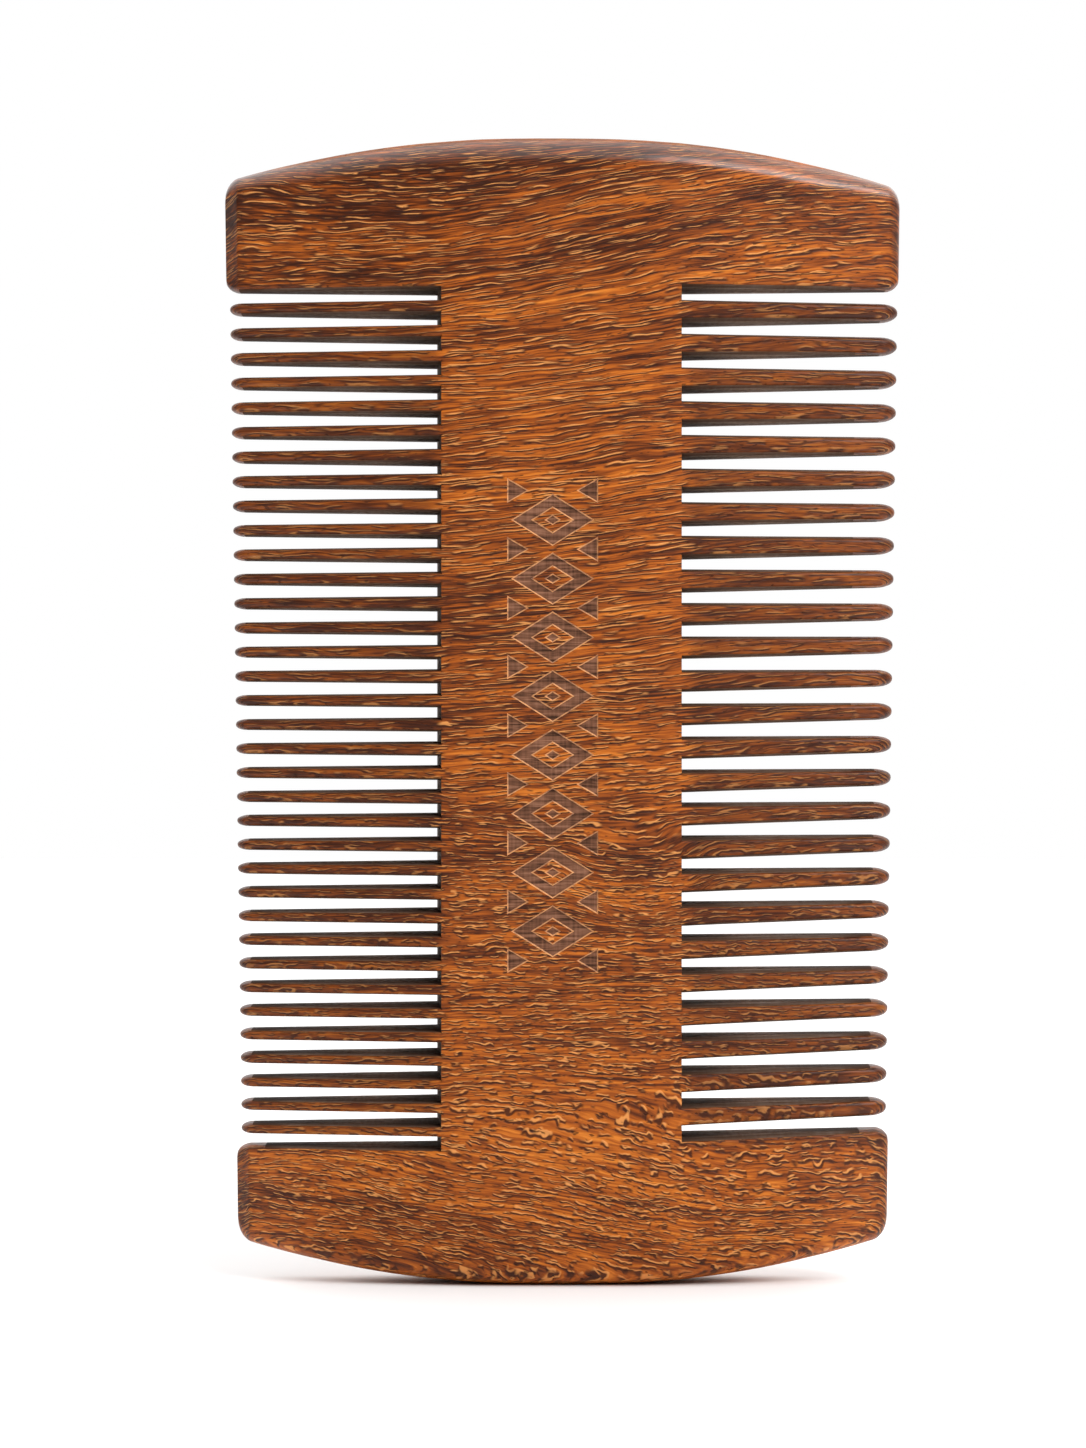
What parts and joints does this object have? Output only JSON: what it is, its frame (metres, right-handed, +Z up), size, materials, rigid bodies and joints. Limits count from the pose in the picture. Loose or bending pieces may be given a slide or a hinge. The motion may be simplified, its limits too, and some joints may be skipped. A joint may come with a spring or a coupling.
{
  "type": "beard comb",
  "caption": "Double-sided wooden pocket comb with fine teeth on one side, coarse teeth on the other, and crowned guards at both ends.",
  "frame": {"origin": "under the middle of the comb, at the lowest point of its crowned bottom edge, half way through its thickness", "axes": "+Z up along the comb's length, X along the teeth with the fine row at -X and the coarse row at +X, Y through the thickness with the front face at -Y"},
  "size_m": [0.0616, 0.01, 0.104],
  "materials": {
    "wood": "oiled satin, red-brown with dark streaks"
  },
  "bodies": {
    "root": {"comb_body": "wood"}
  },
  "joints": []
}
